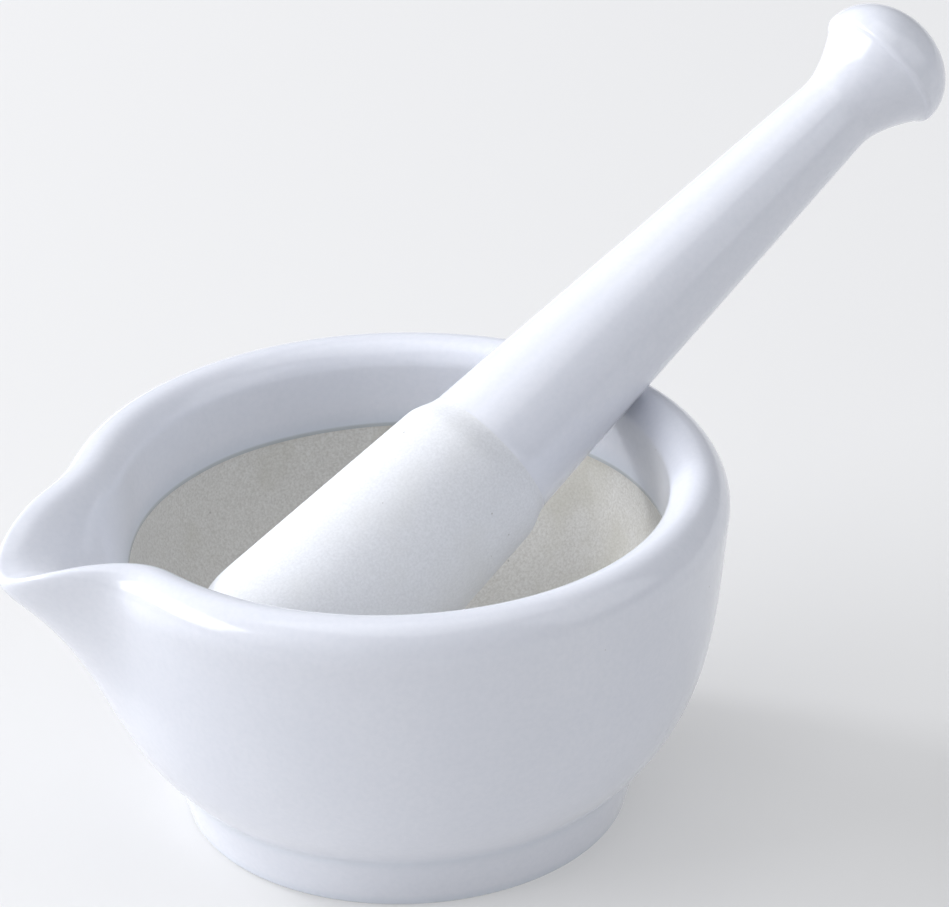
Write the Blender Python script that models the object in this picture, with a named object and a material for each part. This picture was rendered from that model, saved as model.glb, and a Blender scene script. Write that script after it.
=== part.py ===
"""Mortar and pestle of hard porcelain.

A thick-walled bowl on a low foot, with a pouring spout drawn out of its rim,
and the one-piece pestle that stands in it and leans on the rim.

Metres, +Z up. The origin is where the bowl's own axis meets the table.
The spout points along -X. Run with: blender --background --python part.py
"""

from math import atan2, cos, hypot, pi, radians, sin, sqrt, tanh

import bmesh
import bpy
from mathutils import Matrix, Vector

# ---- Mortar: driving dimensions -------------------------------------------
RIM_RADIUS = 0.0500        # widest radius, just under the lip
HEIGHT = 0.0560            # table to the top of the lip
LIP_HALF_WIDTH = 0.0049    # the lip is half an ellipse, this wide ...
LIP_RISE = 0.0060          # ... and this high above the widest radius
LIP_INNER_ANGLE = 150.0    # degrees of the ellipse before the inner wall

WALL_TAPER = 0.109         # the side leans in by this much per unit of height
BELLY = 0.0090             # further inward curve by the time it meets the foot
BELLY_POWER = 4.2          # how late that curve comes

FOOT_RADIUS = 0.0340       # at the table
FOOT_TOP_RADIUS = 0.0362   # where the body rests on the foot
FOOT_HEIGHT = 0.0094
FOOT_EDGE = 0.0010         # rounding of the foot's lower edge
CREASE_DROP = 0.0006       # the foot stops this far short of the body's curve
PANEL_RADIUS = 0.0255      # round panel under the base, inside the foot ring
PANEL_RECESS = 0.0010      # how far that panel is raised off the table
PANEL_CHAMFER = 0.0006

BOWL_RADIUS = 0.0408       # inner wall, where the ellipse of the bowl starts
BOWL_EDGE_HEIGHT = 0.0422  # height of that start
FLOOR_HEIGHT = 0.0103      # table to the lowest point inside

# ---- Spout ------------------------------------------------------------------
SPOUT_AZIMUTH = pi         # the spout points along -X
POUT = 0.0137              # how far the spout is drawn out of the rim
POUT_HALF_ANGLE = 0.472    # radians each side, before the skew
POUT_SKEW = 0.293          # the spout was drawn wider on one side by this share
POUT_SKEW_REACH = 0.3      # radians over which the skew comes in
POUT_TIP_ROUND = 0.121     # radians over which the tip is rounded
POUT_POWER = 1.86          # pinches the spout's flanks
FLARE = 0.0017             # the whole rim also gives this much towards the spout
FLARE_HALF_ANGLE = 1.793
FLARE_OFFSET = -0.379      # radians from the spout's own direction
OUTSIDE_FROM = 0.0185      # height at which the outside begins to follow
OUTSIDE_POWER = 2.07
CHANNEL_FROM = 0.0408      # height at which the channel begins inside
CHANNEL_POWER = 1.23
TIP_THINNING = 0.10        # share by which the lip thins at the tip
TIP_DIP = 0.0043           # how far the tip is pulled below the rim
TIP_DIP_POWER = 2.8

# ---- Pestle -----------------------------------------------------------------
HEAD_RADIUS = 0.01553      # widest part of the grinding head
HEAD_DOME = 0.01518        # height of the rounded grinding end
SHOULDER_AT = 0.0555       # tip of the head to the middle of the shoulder
SHOULDER_LENGTH = 0.0056
SHOULDER_HEAD_RADIUS = 0.01307
SHOULDER_HANDLE_RADIUS = 0.01145
NECK_AT = 0.1352
NECK_RADIUS = 0.0064
KNOB_AT = 0.1461           # tip of the head to the knob's widest edge
KNOB_RADIUS = 0.0109
KNOB_FLARE_POWER = 1.65    # hollows the flare between neck and knob
KNOB_EDGE = 0.0009         # rounding of that edge
KNOB_DOME = 0.0087

PESTLE_HEADING = radians(14.57)     # it leans over the rim on this side
PESTLE_ELEVATION = radians(28.58)   # its axis above the horizontal
AXIS_CROSSING = 0.04368             # height at which the two axes cross
CROSSING_FROM_TIP = 0.03821         # distance from the head's tip to there

# ---- Fineness of the meshes -------------------------------------------------
MORTAR_STEPS = 72
PESTLE_STEPS = 40
WALL_POINTS = 11
LIP_POINTS = 9
BOWL_POINTS = 11
HANDLE_POINTS = 5
FLARE_POINTS = 6
DOME_POINTS = 7
MERGE_DISTANCE = 1e-6


def clear_scene():
    for leftover in list(bpy.data.objects):
        bpy.data.objects.remove(leftover, do_unlink=True)


def make_material(name, colour, roughness):
    material = bpy.data.materials.new(name)
    material.use_nodes = True
    shader = material.node_tree.nodes["Principled BSDF"]
    shader.inputs["Base Color"].default_value = (*colour, 1.0)
    shader.inputs["Roughness"].default_value = roughness
    shader.inputs["Metallic"].default_value = 0.0
    return material


def arc(centre_r, centre_z, radius_r, radius_z, start, end, count):
    """Points on an ellipse from the start angle to the end angle, in degrees."""
    points = []
    for i in range(count):
        angle = radians(start + (end - start) * i / (count - 1))
        points.append((centre_r + radius_r * cos(angle), centre_z + radius_z * sin(angle)))
    return points


def mortar_outline():
    """Half section of the round mortar as (radius, height), base to bowl floor."""
    points = [(0.0, PANEL_RECESS), (PANEL_RADIUS, PANEL_RECESS)]
    points.append((PANEL_RADIUS + PANEL_CHAMFER, 0.0))
    points += arc(FOOT_RADIUS - FOOT_EDGE, FOOT_EDGE, FOOT_EDGE, FOOT_EDGE, -90, 0, 3)
    points.append((FOOT_TOP_RADIUS, FOOT_HEIGHT - CREASE_DROP))

    widest = HEIGHT - LIP_RISE
    side = widest - FOOT_HEIGHT
    for i in range(WALL_POINTS):
        below = side * (1.0 - i / WALL_POINTS)
        radius = RIM_RADIUS - WALL_TAPER * below - BELLY * (below / side) ** BELLY_POWER
        points.append((radius, widest - below))

    lip_centre = RIM_RADIUS - LIP_HALF_WIDTH
    points += arc(lip_centre, widest, LIP_HALF_WIDTH, LIP_RISE, 0, LIP_INNER_ANGLE, LIP_POINTS)
    lip_end = points[-1]
    points.append(((lip_end[0] + BOWL_RADIUS) / 2, (lip_end[1] + BOWL_EDGE_HEIGHT) / 2))

    depth = BOWL_EDGE_HEIGHT - FLOOR_HEIGHT
    points += arc(0.0, BOWL_EDGE_HEIGHT, BOWL_RADIUS, depth, 0, -90, BOWL_POINTS)
    points[-1] = (0.0, FLOOR_HEIGHT)
    return points


def pestle_outline():
    """Half section of the pestle as (radius, distance from the tip), tip to knob."""
    points = arc(0.0, HEAD_DOME, HEAD_RADIUS, HEAD_DOME, -90, 0, DOME_POINTS)
    points[0] = (0.0, 0.0)

    start = SHOULDER_AT - SHOULDER_LENGTH / 2
    for i in range(4):
        share = i / 3
        eased = share * share * (3 - 2 * share)
        radius = SHOULDER_HEAD_RADIUS + (SHOULDER_HANDLE_RADIUS - SHOULDER_HEAD_RADIUS) * eased
        points.append((radius, start + SHOULDER_LENGTH * share))

    shoulder_end = start + SHOULDER_LENGTH
    for i in range(1, HANDLE_POINTS):
        share = i / HANDLE_POINTS
        radius = SHOULDER_HANDLE_RADIUS + (NECK_RADIUS - SHOULDER_HANDLE_RADIUS) * share
        points.append((radius, shoulder_end + (NECK_AT - shoulder_end) * share))

    flare = KNOB_AT - NECK_AT
    for i in range(FLARE_POINTS):
        share = i / FLARE_POINTS
        radius = NECK_RADIUS + (KNOB_RADIUS - NECK_RADIUS) * share ** KNOB_FLARE_POWER
        points.append((radius, NECK_AT + flare * share))

    points += arc(KNOB_RADIUS - KNOB_EDGE, KNOB_AT, KNOB_EDGE, KNOB_EDGE, -60, 0, 2)
    dome = arc(0.0, KNOB_AT, KNOB_RADIUS, KNOB_DOME, 0, 90, DOME_POINTS)
    points += dome[1:]
    points[-1] = (0.0, KNOB_AT + KNOB_DOME)
    return points


def turn(outline, steps):
    """Spin a half section about Z into one closed body."""
    mesh = bmesh.new()
    corners = [mesh.verts.new((radius, 0.0, height)) for radius, height in outline]
    for below, above in zip(corners, corners[1:]):
        mesh.edges.new((below, above))
    bmesh.ops.spin(mesh, geom=mesh.verts[:] + mesh.edges[:], cent=(0, 0, 0), axis=(0, 0, 1),
                   angle=2 * pi, steps=steps, use_merge=True)
    bmesh.ops.remove_doubles(mesh, verts=mesh.verts[:], dist=MERGE_DISTANCE)
    bmesh.ops.recalc_face_normals(mesh, faces=mesh.faces[:])
    return mesh


def bump(share):
    """1 at 0, easing down to 0 at 1 and beyond."""
    return 0.5 * (1.0 + cos(pi * min(abs(share), 1.0)))


def turned_from(azimuth, direction):
    """Signed angle from a direction, between -pi and pi."""
    return (azimuth - direction + pi) % (2 * pi) - pi


def pout_share(azimuth):
    """How strongly the spout is drawn at this azimuth: 1 at its tip, 0 away from it."""
    turned = turned_from(azimuth, SPOUT_AZIMUTH)
    reach = sqrt(turned * turned + POUT_TIP_ROUND ** 2)
    reach *= 1.0 + POUT_SKEW * tanh(turned / POUT_SKEW_REACH)
    at_tip = bump(POUT_TIP_ROUND / POUT_HALF_ANGLE) ** POUT_POWER
    return bump(reach / POUT_HALF_ANGLE) ** POUT_POWER / at_tip


def share_above(height, start, power):
    """0 up to the start height, rising to 1 at the top of the lip."""
    return max(0.0, (height - start) / (HEIGHT - start)) ** power


def draw_spout(mesh):
    """Pull the lip, the wall below it and the channel inside it out into the spout."""
    for corner in mesh.verts:
        radius = hypot(corner.co.x, corner.co.y)
        if radius < MERGE_DISTANCE:
            continue
        direction = Vector((corner.co.x / radius, corner.co.y / radius, 0.0))
        azimuth = atan2(corner.co.y, corner.co.x)
        pout = pout_share(azimuth)
        flare = bump(turned_from(azimuth, SPOUT_AZIMUTH + FLARE_OFFSET) / FLARE_HALF_ANGLE)
        outside = radius >= RIM_RADIUS - LIP_HALF_WIDTH - MERGE_DISTANCE
        if outside:
            follow = share_above(corner.co.z, OUTSIDE_FROM, OUTSIDE_POWER)
        else:
            follow = share_above(corner.co.z, CHANNEL_FROM, CHANNEL_POWER)
        across = min(max(RIM_RADIUS - radius, 0.0), 2 * LIP_HALF_WIDTH)
        outward = FLARE * flare + (POUT + TIP_THINNING * across) * pout
        corner.co += direction * outward * follow
        corner.co.z -= TIP_DIP * pout ** TIP_DIP_POWER * follow


def finish_object(name, mesh, material, sharp_angle):
    data = bpy.data.meshes.new(name)
    mesh.to_mesh(data)
    mesh.free()
    data.shade_smooth()
    data.set_sharp_from_angle(angle=radians(sharp_angle))
    data.materials.append(material)
    item = bpy.data.objects.new(name, data)
    bpy.context.scene.collection.objects.link(item)
    return item


def build_mortar():
    mesh = turn(mortar_outline(), MORTAR_STEPS)
    draw_spout(mesh)
    porcelain = make_material("mortar_porcelain", (0.80, 0.83, 0.87), 0.15)
    return finish_object("mortar", mesh, porcelain, 50)


def build_pestle():
    """The pestle's own +Z runs from its grinding end to its knob."""
    mesh = turn(pestle_outline(), PESTLE_STEPS)
    porcelain = make_material("pestle_porcelain", (0.83, 0.85, 0.88), 0.20)
    pestle = finish_object("pestle", mesh, porcelain, 50)
    along = Vector((cos(PESTLE_ELEVATION) * cos(PESTLE_HEADING),
                    cos(PESTLE_ELEVATION) * sin(PESTLE_HEADING),
                    sin(PESTLE_ELEVATION)))
    tip = Vector((0.0, 0.0, AXIS_CROSSING)) - along * CROSSING_FROM_TIP
    turn_to_lean = along.to_track_quat("Z", "Y").to_matrix().to_4x4()
    pestle.matrix_world = Matrix.Translation(tip) @ turn_to_lean
    return pestle


def main():
    clear_scene()
    build_mortar()
    build_pestle()
    bpy.context.view_layer.update()


main()
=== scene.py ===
"""Mortar and pestle of hard porcelain, glazed where it is held and matt where it grinds.

Metres, +Z up. The bowl's axis is the Z axis, the foot stands on z = 0 and the spout
points along -X. Each piece is raised ring by ring from a circle, like clay on a wheel,
then drawn into its real shape and given its glaze and its bare grinding surface.
"""

from math import atan2, cos, hypot, pi, radians, sin, sqrt, tanh

import bpy
from mathutils import Matrix, Vector, noise


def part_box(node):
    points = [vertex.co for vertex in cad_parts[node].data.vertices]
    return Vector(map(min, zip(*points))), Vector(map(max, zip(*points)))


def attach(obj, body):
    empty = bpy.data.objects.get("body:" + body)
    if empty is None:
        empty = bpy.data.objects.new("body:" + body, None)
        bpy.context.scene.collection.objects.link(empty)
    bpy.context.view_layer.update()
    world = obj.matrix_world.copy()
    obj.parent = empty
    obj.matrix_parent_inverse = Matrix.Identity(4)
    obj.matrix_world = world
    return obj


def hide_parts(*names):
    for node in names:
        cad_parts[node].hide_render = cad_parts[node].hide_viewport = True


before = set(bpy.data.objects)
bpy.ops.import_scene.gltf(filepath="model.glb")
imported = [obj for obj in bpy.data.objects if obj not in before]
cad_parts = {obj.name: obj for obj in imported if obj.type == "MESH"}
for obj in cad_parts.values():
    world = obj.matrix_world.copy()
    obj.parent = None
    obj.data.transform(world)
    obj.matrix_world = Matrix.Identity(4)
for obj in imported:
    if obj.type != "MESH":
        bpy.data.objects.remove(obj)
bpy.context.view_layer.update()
MM = 0.001
TINY = 0.001 * MM

# ---- Mortar: sizes ------------------------------------------------------------------
RIM_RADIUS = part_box("mortar")[1].x     # widest radius, just under the lip
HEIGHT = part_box("mortar")[1].z         # table to the top of the lip
LIP_HALF_WIDTH = 4.9 * MM              # the lip is half an ellipse, this wide
LIP_RISE = 6.0 * MM                    # and this high above the widest radius
LIP_BASE = HEIGHT - LIP_RISE
LIP_INNER_ANGLE = 150                  # degrees of the ellipse before the inner wall
LIP_RINGS = 17

WALL_TAPER = 0.109                     # the side leans in by this share of its height
BELLY = 9.0 * MM                       # further inward curve where it meets the foot
BELLY_POWER = 4.2                      # how late that curve comes
SIDE_RINGS = 26

FOOT_RADIUS = 34.0 * MM                # at the table
FOOT_TOP_RADIUS = 36.2 * MM            # where the body rests on the foot
FOOT_HEIGHT = 9.4 * MM
FOOT_EDGE = 1.0 * MM                   # rounding of the foot's lower edge
CREASE_DROP = 0.6 * MM                 # the foot stops this far short of the body
PANEL_RADIUS = 25.5 * MM               # glazed panel under the base
PANEL_RECESS = 1.0 * MM
PANEL_EDGE = 0.7 * MM                  # width of the step around the panel

BOWL_RADIUS = 40.8 * MM                # inner wall, at the glaze line
BOWL_EDGE_HEIGHT = 42.2 * MM           # height of the glaze line
FLOOR_HEIGHT = 10.3 * MM               # table to the lowest point inside
BOWL_START = -0.4                      # degrees: the bowl begins just under that line
BOWL_RINGS = 30
GLAZE_STEP = 0.16 * MM                 # how far the glaze's edge stands proud inside
GLAZE_LIP = ((1.0, 2.4), (0.9, 0.6))   # its rounded edge, in steps: inwards and up
GLAZE_WAVER = 0.35 * MM                # how far the dipped edge strays up and down
GLAZE_WAVER_REACH = 6.0 * MM
GLAZE_WAVER_DETAIL = 2.2               # how often it strays on the way round
GLAZE_SWAY = 0.6                       # and by what share it sways twice round the bowl
GLAZE_SWAY_START = 0.9

# Where glass runs together: its share of a full pool, the middle's height, the reach.
CREASE_POOL = (0.3, FOOT_HEIGHT - 0.3 * MM, 2.0 * MM)
LINE_POOL = (0.4, BOWL_EDGE_HEIGHT + 0.5 * MM, 3.5 * MM)
FOOT_POOL = (0.4, 0.6 * MM, 1.2 * MM)

# ---- Mortar: spout ------------------------------------------------------------------
SPOUT_AZIMUTH = pi
POUT = 13.7 * MM                       # how far the spout is drawn out of the rim
POUT_HALF_ANGLE = 0.472                # radians each side, before the skew
POUT_SKEW = 0.293                      # drawn wider on one side by this share
POUT_SKEW_REACH = 0.3
POUT_TIP_ROUND = 0.121                 # radians over which the tip is rounded
POUT_POWER = 1.86                      # pinches the spout's flanks
FLARE = 1.7 * MM                       # the whole rim gives this much to the spout
FLARE_HALF_ANGLE = 1.793
FLARE_OFFSET = -0.379                  # and more on one side of it
OUTSIDE_FROM = 18.5 * MM               # height at which the outside begins to follow
OUTSIDE_POWER = 2.07
CHANNEL_FROM = 40.8 * MM               # height at which the channel begins inside
CHANNEL_POWER = 1.23
TIP_THINNING = 0.10                    # share by which the lip thins at the tip
SHOULDER_FULLNESS = 0.16               # share by which the lip's outer shoulder stands out
SHOULDER_FULL_BY = 1 / 3               # share of the draw at which it is fully out
TIP_DIP = 4.3 * MM                     # how far the tip is pulled below the rim
TIP_DIP_POWER = 2.8

# ---- Pestle: sizes along its own axis, from the grinding end --------------------------
HEAD_RADIUS = 15.53 * MM
HEAD_DOME = 15.18 * MM
RING_AT = 55.5 * MM                    # the shoulder ring between head and handle
RING_LENGTH = 5.6 * MM
RING_HEAD_RADIUS = 13.07 * MM
RING_HANDLE_RADIUS = 11.45 * MM
NECK_AT = 135.2 * MM
NECK_RADIUS = 6.4 * MM
KNOB_AT = 146.1 * MM
KNOB_RADIUS = 10.9 * MM
KNOB_FLARE_POWER = 1.65                # how late the neck opens into the knob
KNOB_EDGE = 1.3 * MM                   # rounding of the knob's widest edge
KNOB_EDGE_START = -50                  # degrees round that edge, from the neck's side
KNOB_DOME = 8.7 * MM
KNOB_DOME_START = 6
HANDLE_GLAZE_AT = 57.6 * MM            # the dipped handle's glaze ends here

# ---- Pestle: how it lies --------------------------------------------------------------
PESTLE_AZIMUTH = radians(14.57)
PESTLE_ELEVATION = radians(28.58)
AXIS_CROSSING = 43.68 * MM             # height at which the two axes cross
CROSSING_FROM_TIP = 38.21 * MM

# ---- Unevenness left by hand and kiln -------------------------------------------------
WARP = 0.10 * MM                       # slow waves of the fired clay
WARP_LENGTH = 26 * MM
MORTAR_STEPS = 144
PESTLE_STEPS = 72
POLE_RADIUS = 0.15 * MM                # the first and last rings, closed to a point

# ---- Finishes: sRGB colours, and the real sizes of their patterns ---------------------
GLAZE_DULL_WHITE = "e2e5ee"            # the white drifts between these two
GLAZE_CLEAR_WHITE = "eaecf3"
GLAZE_MOTTLE = "dde1ea"
GLAZE_POOLED = "c9d3df"
# Painted shade: a thin grey line along the glaze's step inside the bowl, where the ledge
# shades the wall.
GLAZE_LEDGE_SHADE = "b3b9b9"
IRON = "8d8a86"
GRIT = "86827a"
GROUND_BISCUIT = {"light": "ebeae6", "dark": "d4d2cc", "stain": "c8c5b7",
                  "stain_share": 0.45, "grit_share": 0.35}
HEAD_BISCUIT = {"light": "e8eaee", "dark": "dddfe3", "stain": "dcdddc",
                "stain_share": 0.3, "grit_share": 0.2}

CLOUD = 16 * MM
MOTTLE = 0.9 * MM
GLOSS_PATCH = 11 * MM
RIPPLE = 6.5 * MM
RIPPLE_DRAWN_OUT = 7                   # a dipped handle's ripples run along it
RIPPLE_DEPTH = 0.035 * MM
PEEL_DEPTH = 0.002 * MM
IRON_SPACING = 4.5 * MM
PINHOLE_SPACING = 7 * MM
PINHOLE_DEPTH = 0.06 * MM
GRAIN = 0.4 * MM                       # truly about 0.1 mm, drawn coarser so that it shows
GRAIN_DEPTH = 0.03 * MM
STAIN_PATCH = 10 * MM
GRIT_SPACING = 2.6 * MM
PORCELAIN_IOR = 1.5

# ---- Studio: camera, table and lights -------------------------------------------------
CAMERA_PLACE = Vector((-0.2463, -0.6552, 0.4288))
CAMERA_PITCH = 0.4868
CAMERA_YAW = 0.0166
CAMERA_ROLL = -0.0239
CAMERA_TURN = radians(-20.6)
SENSOR_WIDTH = 36.0
LENS = 200.3

TABLE_SIZE = 8.0
TABLE_WHITE = "bcbcbc"
# Painted light: the table glows by itself, which lightens its shadow and lights the porcelain
# from below.
TABLE_GLOW = 0.29

# The broad window of light that models the forms, and a small hot lamp within it.
KEY = {"azimuth": 152, "elevation": 31, "width": 2.45, "height": 0.82,
       "radiance": 5.3, "colour": "f9fafe"}
LAMP = {"azimuth": 129, "elevation": 31, "width": 0.26, "height": 0.26,
        "radiance": 42.0, "colour": "fafbfe"}
# Weaker boxes that open the shaded side, the upward faces and the near wall.
FILL = {"azimuth": -36, "elevation": 35, "width": 1.2, "height": 1.2,
        "radiance": 1.1, "colour": "f6f8fd"}
TOP = {"azimuth": -60, "elevation": 86, "width": 1.4, "height": 1.4,
       "radiance": 1.35, "colour": "fafbfe"}
CARD = {"azimuth": -144, "elevation": 28, "width": 1.2, "height": 1.2,
        "radiance": 0.55, "colour": "fafbfe"}
SOFTBOX_DISTANCE = 1.7
SKY_COLOUR = "f6f8fc"
SKY = 0.22                             # how strongly the room lights the porcelain
BACKDROP = 0.86                        # how bright it looks beyond the table


# ---- Small helpers --------------------------------------------------------------------
def linear(hex_colour):
    """sRGB hex such as "e6ebf2" to linear red, green, blue and 1."""
    channels = [int(hex_colour[i:i + 2], 16) / 255 for i in (0, 2, 4)]
    return tuple(c / 12.92 if c <= 0.04045 else ((c + 0.055) / 1.055) ** 2.4
                 for c in channels) + (1.0,)


def direction(azimuth, elevation):
    """The unit vector at this azimuth and elevation, both in radians."""
    level = cos(elevation)
    return Vector((level * cos(azimuth), level * sin(azimuth), sin(elevation)))


def ellipse(centre, radii, start, end, count):
    """Points on an ellipse in (radius, height), from one angle to another in degrees."""
    points = []
    for i in range(count):
        angle = radians(start + (end - start) * i / (count - 1))
        points.append((centre[0] + radii[0] * cos(angle), centre[1] + radii[1] * sin(angle)))
    return points


def between(first, last, count):
    """Points strictly between two others, evenly spaced."""
    points = []
    for i in range(1, count + 1):
        share = i / (count + 1)
        points.append(tuple(a + (b - a) * share for a, b in zip(first, last)))
    return points


def bump(share):
    """1 at 0, easing down to 0 at 1 and beyond."""
    return 0.5 * (1.0 + cos(pi * min(abs(share), 1.0)))


# ---- Turning a piece from a circle ----------------------------------------------------
def turned(name, section, steps):
    """Raises a circle ring by ring along a section, then closes its two poles."""
    bpy.ops.object.select_all(action="DESELECT")
    radius, height = section[0]
    bpy.ops.mesh.primitive_circle_add(vertices=steps, radius=radius, location=(0, 0, height))
    piece = bpy.context.object
    piece.name = name
    bpy.ops.object.transform_apply(location=True, rotation=True, scale=True)
    bpy.ops.object.mode_set(mode="EDIT")
    bpy.ops.mesh.select_mode(type="EDGE")
    bpy.ops.mesh.select_all(action="SELECT")
    for next_radius, next_height in section[1:]:
        rise = (0, 0, next_height - height)
        bpy.ops.mesh.extrude_region_move(TRANSFORM_OT_translate={"value": rise})
        grow = next_radius / radius
        bpy.ops.transform.resize(value=(grow, grow, 1), center_override=(0, 0, next_height))
        radius, height = next_radius, next_height
    bpy.ops.mesh.merge(type="CENTER")
    select_where(piece, "VERT", lambda corner: corner.index < steps)
    bpy.ops.mesh.merge(type="CENTER")
    bpy.ops.mesh.select_all(action="SELECT")
    bpy.ops.mesh.normals_make_consistent(inside=False)
    bpy.ops.object.mode_set(mode="OBJECT")
    return piece


def select_where(piece, kind, test):
    """Selects the vertices or faces that pass a test, and leaves the piece in edit mode."""
    bpy.ops.object.mode_set(mode="EDIT")
    bpy.ops.mesh.select_mode(type=kind)
    bpy.ops.mesh.select_all(action="DESELECT")
    bpy.ops.object.mode_set(mode="OBJECT")
    parts = piece.data.vertices if kind == "VERT" else piece.data.polygons
    for part in parts:
        part.select = test(part)
    bpy.ops.object.mode_set(mode="EDIT")


def finish_faces(piece, slot_index, test):
    """Gives the faces that pass a test another of the piece's finishes."""
    select_where(piece, "FACE", test)
    piece.active_material_index = slot_index
    bpy.ops.object.material_slot_assign()
    bpy.ops.object.mode_set(mode="OBJECT")


def smooth(piece, levels):
    """Adds a Subdivision Surface, applies it and shades the piece smooth."""
    modifier = piece.modifiers.new("smooth", "SUBSURF")
    modifier.levels = levels
    modifier.render_levels = levels
    bpy.ops.object.modifier_apply(modifier=modifier.name)
    bpy.ops.object.shade_smooth()


# ---- Mortar ---------------------------------------------------------------------------
def mortar_section():
    """Base centre, foot, side, lip, glaze line and bowl, as (radius, height)."""
    points = [(POLE_RADIUS, PANEL_RECESS)]
    points += between((0, PANEL_RECESS), (PANEL_RADIUS, PANEL_RECESS), 5)
    points += ellipse((PANEL_RADIUS, 0), (PANEL_EDGE, PANEL_RECESS), 90, 0, 4)
    points += between(points[-1], (FOOT_RADIUS - FOOT_EDGE, 0), 3)
    points += ellipse((FOOT_RADIUS - FOOT_EDGE, FOOT_EDGE), (FOOT_EDGE, FOOT_EDGE), -90, 0, 6)
    foot_top = (FOOT_TOP_RADIUS, FOOT_HEIGHT - CREASE_DROP)
    points += between(points[-1], foot_top, 6)
    points.append(foot_top)

    side = LIP_BASE - FOOT_HEIGHT
    for i in range(SIDE_RINGS):
        below = side * (1.0 - i / SIDE_RINGS)
        radius = RIM_RADIUS - WALL_TAPER * below - BELLY * (below / side) ** BELLY_POWER
        points.append((radius, LIP_BASE - below))

    lip_centre = (RIM_RADIUS - LIP_HALF_WIDTH, LIP_BASE)
    points += ellipse(lip_centre, (LIP_HALF_WIDTH, LIP_RISE), 0, LIP_INNER_ANGLE, LIP_RINGS)
    glaze_lip = [(BOWL_RADIUS - GLAZE_STEP * inwards, BOWL_EDGE_HEIGHT + GLAZE_STEP * up)
                 for inwards, up in GLAZE_LIP]
    points += between(points[-1], glaze_lip[0], 9)
    points += glaze_lip

    depth = BOWL_EDGE_HEIGHT - FLOOR_HEIGHT
    bowl = ellipse((0, BOWL_EDGE_HEIGHT), (BOWL_RADIUS, depth), BOWL_START, -90, BOWL_RINGS)
    bowl[-1] = (POLE_RADIUS, FLOOR_HEIGHT)
    return points + bowl


def turned_from(azimuth, other):
    """Signed angle from another azimuth, between -pi and pi."""
    return (azimuth - other + pi) % (2 * pi) - pi


def pout_share(azimuth):
    """How strongly the spout is drawn at this azimuth: 1 at its tip, 0 away from it."""
    turned_by = turned_from(azimuth, SPOUT_AZIMUTH)
    reach = sqrt(turned_by * turned_by + POUT_TIP_ROUND ** 2)
    reach *= 1.0 + POUT_SKEW * tanh(turned_by / POUT_SKEW_REACH)
    at_tip = bump(POUT_TIP_ROUND / POUT_HALF_ANGLE) ** POUT_POWER
    return bump(reach / POUT_HALF_ANGLE) ** POUT_POWER / at_tip


def share_above(height, start, power):
    """0 up to the start height, rising to 1 at the top of the lip."""
    return max(0.0, (height - start) / (HEIGHT - start)) ** power


def glaze_line_stray(azimuth):
    """How far the glaze line wanders up or down at this azimuth."""
    place = Vector((cos(azimuth), sin(azimuth), 0.0)) * GLAZE_WAVER_DETAIL
    sway = GLAZE_SWAY * sin(2 * azimuth + GLAZE_SWAY_START)
    return GLAZE_WAVER * (noise.noise(place) + sway)


def warp_of(place):
    """The slow unevenness of fired clay, from -WARP to WARP."""
    return WARP * noise.noise(place / WARP_LENGTH)


def pool(height, share, middle, reach):
    """How much glaze has run together at this height, in one of its pools."""
    return share * bump((height - middle) / reach)


def glaze_depth(height, inside):
    """How much glaze has run together here, from 0 to 1."""
    if inside:
        return pool(height, *LINE_POOL)
    return max(pool(height, *CREASE_POOL), pool(height, *FOOT_POOL))


def fuller_shoulder(radius, height, pout, outwards):
    """How far the lip's outer shoulder is pushed out along the spout, where it is thicker."""
    across = (radius - RIM_RADIUS + LIP_HALF_WIDTH) / LIP_HALF_WIDTH
    rise = (height - LIP_BASE) / LIP_RISE
    shoulder = (2 * across * rise) ** 2
    fuller = SHOULDER_FULLNESS * shoulder * min(1.0, pout / SHOULDER_FULL_BY)
    return (outwards * across * LIP_HALF_WIDTH + Vector((0, 0, rise * LIP_RISE))) * fuller


def draw_mortar(piece):
    """Pulls the spout out, lets the glaze line wander and warps the walls a little."""
    depth = piece.data.attributes.new("glaze_depth", "FLOAT", "POINT")
    # The second attribute marks where a painted shade line goes, along the glaze's step inside
    # the bowl.
    edge = piece.data.attributes.new("painted_ledge_shade", "FLOAT", "POINT")
    for corner in piece.data.vertices:
        radius = hypot(corner.co.x, corner.co.y)
        if radius < POLE_RADIUS:
            continue
        outwards = Vector((corner.co.x / radius, corner.co.y / radius, 0.0))
        azimuth = atan2(corner.co.y, corner.co.x)
        height = corner.co.z
        pout = pout_share(azimuth)
        if radius > RIM_RADIUS - LIP_HALF_WIDTH and height > LIP_BASE:
            corner.co += fuller_shoulder(radius, height, pout, outwards)
        inner_side = corner.normal.dot(outwards) < 0
        depth.data[corner.index].value = glaze_depth(height, inner_side)
        # Vertices along the glaze's step inside the bowl, which carry the painted shade line.
        ledge_shade_mask = inner_side and abs(height - BOWL_EDGE_HEIGHT) < 3 * GLAZE_STEP
        edge.data[corner.index].value = float(ledge_shade_mask)
        if radius >= RIM_RADIUS - LIP_HALF_WIDTH - TINY:
            follow = share_above(height, OUTSIDE_FROM, OUTSIDE_POWER)
        else:
            follow = share_above(height, CHANNEL_FROM, CHANNEL_POWER)
            if inner_side:
                near_line = bump((height - BOWL_EDGE_HEIGHT) / GLAZE_WAVER_REACH)
                corner.co.z += glaze_line_stray(azimuth) * near_line
        flare = bump(turned_from(azimuth, SPOUT_AZIMUTH + FLARE_OFFSET) / FLARE_HALF_ANGLE)
        across = min(max(RIM_RADIUS - radius, 0.0), 2 * LIP_HALF_WIDTH)
        drawn = FLARE * flare + (POUT + TIP_THINNING * across) * pout
        corner.co += outwards * drawn * follow
        corner.co.z -= TIP_DIP * pout ** TIP_DIP_POWER * follow
        corner.co += outwards * warp_of(corner.co) * min(height / FOOT_HEIGHT, 1.0)


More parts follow.
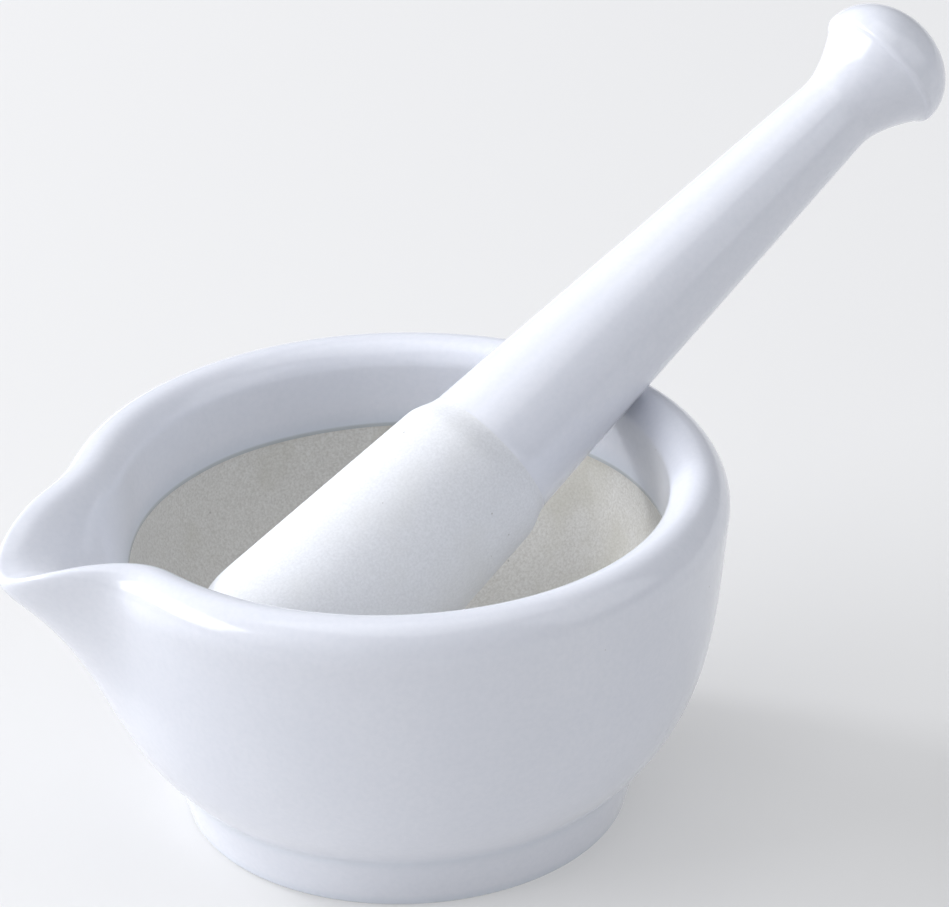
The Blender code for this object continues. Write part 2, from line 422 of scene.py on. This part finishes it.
def build_mortar():
    """Bowl, lip, spout and foot: one body of clay, bare inside and on the foot ring."""
    piece = turned("mortar_body", mortar_section(), MORTAR_STEPS)
    piece.data.materials.append(glazed_porcelain("mortar_glaze"))
    piece.data.materials.append(biscuit("ground_biscuit", **GROUND_BISCUIT))
    bowl_focus = Vector((0, 0, BOWL_EDGE_HEIGHT))

    def inside_bowl(face):
        below_line = face.center.z < BOWL_EDGE_HEIGHT
        return below_line and face.normal.dot(face.center - bowl_focus) < 0

    def under_foot(face):
        return face.normal.z < -0.9 and face.center.z < 0.2 * MM

    finish_faces(piece, 1, lambda face: inside_bowl(face) or under_foot(face))
    draw_mortar(piece)
    smooth(piece, 1)
    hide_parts("mortar")
    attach(piece, "mortar")


# ---- Pestle ---------------------------------------------------------------------------
def pestle_section():
    """Grinding end, head, shoulder ring, handle, neck and knob, as (radius, distance)."""
    points = ellipse((0, HEAD_DOME), (HEAD_RADIUS, HEAD_DOME), -90, 0, 18)
    points[0] = (POLE_RADIUS, 0.0)
    ring_start = RING_AT - RING_LENGTH / 2
    ring_end = RING_AT + RING_LENGTH / 2
    points += between(points[-1], (RING_HEAD_RADIUS, ring_start), 12)
    for i in range(9):
        share = i / 8
        eased = share * share * (3 - 2 * share)
        radius = RING_HEAD_RADIUS + (RING_HANDLE_RADIUS - RING_HEAD_RADIUS) * eased
        points.append((radius, ring_start + RING_LENGTH * share))

    points += between((RING_HANDLE_RADIUS, ring_end), (NECK_RADIUS, NECK_AT), 30)
    for i in range(10):
        share = i / 10
        radius = NECK_RADIUS + (KNOB_RADIUS - NECK_RADIUS) * share ** KNOB_FLARE_POWER
        points.append((radius, NECK_AT + (KNOB_AT - NECK_AT) * share))
    edge_centre = (KNOB_RADIUS - KNOB_EDGE, KNOB_AT)
    points += ellipse(edge_centre, (KNOB_EDGE, KNOB_EDGE), KNOB_EDGE_START, 0, 6)
    points += ellipse((0, KNOB_AT), (KNOB_RADIUS, KNOB_DOME), KNOB_DOME_START, 90, 15)
    points[-1] = (POLE_RADIUS, KNOB_AT + KNOB_DOME)
    return points


def build_pestle():
    """Head, shoulder ring, handle and knob: one body of clay, bare on the head."""
    along = direction(PESTLE_AZIMUTH, PESTLE_ELEVATION)
    tip = Vector((0, 0, AXIS_CROSSING)) - along * CROSSING_FROM_TIP
    lean = along.to_track_quat("Z", "Y")
    own_axis = (tip, lean.to_euler())

    piece = turned("pestle_body", pestle_section(), PESTLE_STEPS)
    piece.data.materials.append(glazed_porcelain("pestle_glaze", own_axis))
    piece.data.materials.append(biscuit("head_biscuit", own_axis=own_axis, **HEAD_BISCUIT))
    finish_faces(piece, 1, lambda face: face.center.z < HANDLE_GLAZE_AT)
    for corner in piece.data.vertices:
        outwards = Vector((corner.co.x, corner.co.y, 0.0)).normalized()
        corner.co += outwards * warp_of(corner.co)
    smooth(piece, 1)

    # The place goes into the mesh, so that the object stays at the origin.
    piece.matrix_world = Matrix.Translation(tip) @ lean.to_matrix().to_4x4()
    bpy.ops.object.transform_apply(location=True, rotation=True, scale=True)
    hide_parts("pestle")
    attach(piece, "pestle")


# ---- Materials ------------------------------------------------------------------------
def add_node(tree, kind, settings=None, inputs=None):
    """Adds a node, with its settings by name and its inputs by name or number."""
    node = tree.nodes.new("ShaderNode" + kind)
    for name, value in (settings or {}).items():
        setattr(node, name, value)
    for key, value in (inputs or {}).items():
        if isinstance(value, bpy.types.NodeSocket):
            tree.links.new(value, node.inputs[key])
        else:
            node.inputs[key].default_value = value
    return node


def new_material(name):
    """A material, its node tree and its Principled shader."""
    material = bpy.data.materials.new(name)
    material.use_nodes = True
    tree = material.node_tree
    return material, tree, tree.nodes["Principled BSDF"]


def pattern_place(tree, own_axis):
    """Object coordinates, laid along the pestle's own axis where one is given."""
    place = add_node(tree, "TexCoord").outputs["Object"]
    if not own_axis:
        return place
    tip, lean = own_axis
    return add_node(tree, "Mapping", {"vector_type": "TEXTURE"},
                    {"Vector": place, "Location": tip, "Rotation": lean}).outputs["Vector"]


def dark_specks(tree, place, spacing, share, radius, blur):
    """Scattered specks of many sizes, one at most in each cell: 0 between, 0.5 on a speck."""
    cells = add_node(tree, "TexVoronoi", inputs={"Vector": place, "Scale": 1 / spacing})
    pick = add_node(tree, "SeparateColor", inputs={"Color": cells.outputs["Color"]})
    size = add_node(tree, "MapRange", inputs={"Value": pick.outputs[0],
                                              "From Min": 1.0 - share, "To Max": radius})
    inside = add_node(tree, "Math", {"operation": "SUBTRACT"},
                      {0: size.outputs[0], 1: cells.outputs["Distance"]})
    speck = add_node(tree, "MapRange", inputs={"Value": inside.outputs[0], "From Min": 0.0,
                                               "From Max": blur, "To Max": 0.5})
    return speck.outputs[0]


def glazed_porcelain(name, own_axis=None):
    """Clear feldspar glaze melted over white hard porcelain: a wet, faintly blue white,
    cooler and deeper where the glass has run together, with the odd iron speck and pinhole
    from the kiln. It mirrors softly, because the glass lies in slow ripples."""
    material, tree, shader = new_material(name)
    place = pattern_place(tree, own_axis)

    cloud = add_node(tree, "TexNoise", inputs={"Vector": place, "Scale": 1 / CLOUD,
                                               "Detail": 3.0}).outputs["Fac"]
    white = add_node(tree, "Mix", {"data_type": "RGBA"},
                     {0: cloud, 6: linear(GLAZE_DULL_WHITE),
                      7: linear(GLAZE_CLEAR_WHITE)}).outputs[2]
    mottle = add_node(tree, "TexNoise", inputs={"Vector": place, "Scale": 1 / MOTTLE,
                                                "Detail": 2.0}).outputs["Fac"]
    mottle_share = add_node(tree, "MapRange", inputs={"Value": mottle, "From Min": 0.35,
                                                      "From Max": 0.7, "To Max": 0.35})
    mottled = add_node(tree, "Mix", {"data_type": "RGBA"},
                       {0: mottle_share.outputs[0], 6: white,
                        7: linear(GLAZE_MOTTLE)}).outputs[2]

    depth = add_node(tree, "Attribute", {"attribute_name": "glaze_depth"}).outputs["Fac"]
    pooled = add_node(tree, "Mix", {"data_type": "RGBA"},
                      {0: depth, 6: mottled, 7: linear(GLAZE_POOLED)}).outputs[2]
    # A painted shade line along the glaze's step inside the bowl darkens the glaze there.
    edge = add_node(tree, "Attribute", {"attribute_name": "painted_ledge_shade"}).outputs["Fac"]
    ledge_shade_share = add_node(tree, "MapRange", inputs={"Value": edge, "From Min": 0.55,
                                                    "To Max": 0.7})
    ledge_shaded = add_node(tree, "Mix", {"data_type": "RGBA"},
                     {0: ledge_shade_share.outputs[0], 6: pooled,
                      7: linear(GLAZE_LEDGE_SHADE)}).outputs[2]
    iron = dark_specks(tree, place, IRON_SPACING, 0.2, 0.055, 0.03)
    specked = add_node(tree, "Mix", {"data_type": "RGBA"},
                       {0: iron, 6: ledge_shaded, 7: linear(IRON)}).outputs[2]
    tree.links.new(specked, shader.inputs["Base Color"])

    gloss = add_node(tree, "TexNoise", inputs={"Vector": place, "Scale": 1 / GLOSS_PATCH,
                                               "Detail": 4.0}).outputs["Fac"]
    roughness = add_node(tree, "MapRange", inputs={"Value": gloss, "From Min": 0.3,
                                                   "From Max": 0.75, "To Min": 0.09,
                                                   "To Max": 0.17})
    tree.links.new(roughness.outputs[0], shader.inputs["Roughness"])

    ripple_place = place
    if own_axis:
        ripple_place = add_node(tree, "Mapping", {"vector_type": "TEXTURE"},
                                {"Vector": place,
                                 "Scale": (1, 1, RIPPLE_DRAWN_OUT)}).outputs["Vector"]
    ripple = add_node(tree, "TexNoise", inputs={"Vector": ripple_place, "Scale": 1 / RIPPLE,
                                                "Detail": 1.0}).outputs["Fac"]
    slow = add_node(tree, "Bump", inputs={"Strength": 1.0, "Distance": RIPPLE_DEPTH,
                                          "Height": ripple})
    peel = add_node(tree, "Bump", inputs={"Strength": 1.0, "Distance": PEEL_DEPTH,
                                          "Height": mottle, "Normal": slow.outputs["Normal"]})
    pinholes = add_node(tree, "TexVoronoi", inputs={"Vector": place,
                                                    "Scale": 1 / PINHOLE_SPACING})
    pin_pick = add_node(tree, "SeparateColor", inputs={"Color": pinholes.outputs["Color"]})
    pin_size = add_node(tree, "MapRange", inputs={"Value": pin_pick.outputs[1],
                                                  "From Min": 0.86, "To Max": 0.05})
    outside_pin = add_node(tree, "Math", {"operation": "SUBTRACT"},
                           {0: pinholes.outputs["Distance"], 1: pin_size.outputs[0]})
    pin_height = add_node(tree, "MapRange", inputs={"Value": outside_pin.outputs[0],
                                                    "From Min": -0.03, "From Max": 0.0})
    pits = add_node(tree, "Bump", inputs={"Strength": 1.0, "Distance": PINHOLE_DEPTH,
                                          "Height": pin_height.outputs[0],
                                          "Normal": peel.outputs["Normal"]})
    tree.links.new(pits.outputs["Normal"], shader.inputs["Normal"])
    shader.inputs["IOR"].default_value = PORCELAIN_IOR
    return material


def biscuit(name, light, dark, stain, stain_share, grit_share, own_axis=None):
    """Bare fired porcelain: matt and dry, with a sandy grain that shows as fine speckle,
    a few dark grits, and faint stains left by what was ground on it."""
    material, tree, shader = new_material(name)
    place = pattern_place(tree, own_axis)

    grain = add_node(tree, "TexNoise", inputs={"Vector": place, "Scale": 1 / GRAIN,
                                               "Detail": 4.0, "Roughness": 0.6}).outputs["Fac"]
    grain_share = add_node(tree, "MapRange", inputs={"Value": grain, "From Min": 0.33,
                                                     "From Max": 0.67})
    body = add_node(tree, "Mix", {"data_type": "RGBA"},
                    {0: grain_share.outputs[0], 6: linear(dark), 7: linear(light)}).outputs[2]
    patch = add_node(tree, "TexNoise", inputs={"Vector": place, "Scale": 1 / STAIN_PATCH,
                                               "Detail": 3.0}).outputs["Fac"]
    patch_share = add_node(tree, "MapRange", inputs={"Value": patch, "From Min": 0.50,
                                                     "From Max": 0.72, "To Max": stain_share})
    stained = add_node(tree, "Mix", {"data_type": "RGBA"},
                       {0: patch_share.outputs[0], 6: body, 7: linear(stain)}).outputs[2]
    grit = dark_specks(tree, place, GRIT_SPACING, grit_share, 0.09, 0.04)
    gritty = add_node(tree, "Mix", {"data_type": "RGBA"},
                      {0: grit, 6: stained, 7: linear(GRIT)}).outputs[2]
    tree.links.new(gritty, shader.inputs["Base Color"])

    roughness = add_node(tree, "MapRange", inputs={"Value": patch, "From Min": 0.3,
                                                   "From Max": 0.7, "To Min": 0.86,
                                                   "To Max": 0.70})
    tree.links.new(roughness.outputs[0], shader.inputs["Roughness"])
    relief = add_node(tree, "Bump", inputs={"Strength": 1.0, "Distance": GRAIN_DEPTH,
                                            "Height": grain})
    tree.links.new(relief.outputs["Normal"], shader.inputs["Normal"])
    shader.inputs["IOR"].default_value = PORCELAIN_IOR
    shader.inputs["Specular IOR Level"].default_value = 0.35
    return material


def opal_acrylic(name):
    """Opal acrylic sheet that glows a little by itself, as if lit from beneath, which lightens
    the shadows on it: an even, pale white with no gloss.
    """
    material, tree, shader = new_material(name)
    shader.inputs["Base Color"].default_value = linear(TABLE_WHITE)
    shader.inputs["Emission Color"].default_value = (1, 1, 1, 1)
    shader.inputs["Emission Strength"].default_value = TABLE_GLOW
    shader.inputs["Roughness"].default_value = 0.9
    shader.inputs["Specular IOR Level"].default_value = 0.0
    return material


# ---- Studio ---------------------------------------------------------------------------
def make_camera():
    """A long lens that looks down into the bowl, with the spout on the left."""
    data = bpy.data.cameras.new("camera")
    data.sensor_width = SENSOR_WIDTH
    data.lens = LENS
    camera = bpy.data.objects.new("camera", data)
    bpy.context.scene.collection.objects.link(camera)
    level = cos(CAMERA_PITCH)
    forward = Vector((sin(CAMERA_YAW) * level, cos(CAMERA_YAW) * level, -sin(CAMERA_PITCH)))
    right = Vector((cos(CAMERA_YAW), -sin(CAMERA_YAW), 0))
    up = right.cross(forward)
    rolled_right = cos(CAMERA_ROLL) * right + sin(CAMERA_ROLL) * up
    rolled_up = -sin(CAMERA_ROLL) * right + cos(CAMERA_ROLL) * up
    turn = Matrix.Rotation(CAMERA_TURN, 3, "Z")
    axes = Matrix((turn @ rolled_right, turn @ rolled_up, turn @ -forward)).transposed()
    camera.matrix_world = Matrix.Translation(CAMERA_PLACE) @ axes.to_4x4()
    bpy.context.scene.camera = camera


def make_floor():
    """A plain pale table for the foot to stand on."""
    bpy.ops.object.select_all(action="DESELECT")
    bpy.ops.mesh.primitive_plane_add(size=TABLE_SIZE)
    floor = bpy.context.object
    floor.name = "floor"
    floor.data.materials.append(opal_acrylic("opal_acrylic_table"))


def softbox(name, azimuth, elevation, width, height, radiance, colour):
    """A rectangular softbox that faces the bowl, as bright all over as its radiance says."""
    data = bpy.data.lights.new(name, "AREA")
    data.shape = "RECTANGLE"
    data.size = width
    data.size_y = height
    data.color = linear(colour)[:3]
    data.energy = radiance * pi * width * height
    light = bpy.data.objects.new(name, data)
    bpy.context.scene.collection.objects.link(light)
    towards = direction(radians(azimuth), radians(elevation))
    light.location = towards * SOFTBOX_DISTANCE
    light.rotation_euler = towards.to_track_quat("Z", "Y").to_euler()


def make_lights():
    """Five softboxes in a pale room."""
    softbox("key", **KEY)
    softbox("lamp", **LAMP)
    softbox("fill", **FILL)
    softbox("top", **TOP)
    softbox("card", **CARD)
    world = bpy.data.worlds.new("studio")
    bpy.context.scene.world = world
    world.use_nodes = True
    tree = world.node_tree
    sky = tree.nodes["Background"]
    sky.inputs["Color"].default_value = linear(SKY_COLOUR)
    seen = add_node(tree, "LightPath").outputs["Is Camera Ray"]
    strength = add_node(tree, "MapRange", inputs={"Value": seen, "To Min": SKY,
                                                  "To Max": BACKDROP})
    tree.links.new(strength.outputs[0], sky.inputs["Strength"])


def main():
    """Builds the two pieces and the studio around them."""
    make_camera()
    build_mortar()
    build_pestle()
    make_floor()
    make_lights()
    bpy.context.scene.view_settings.view_transform = "Standard"


main()
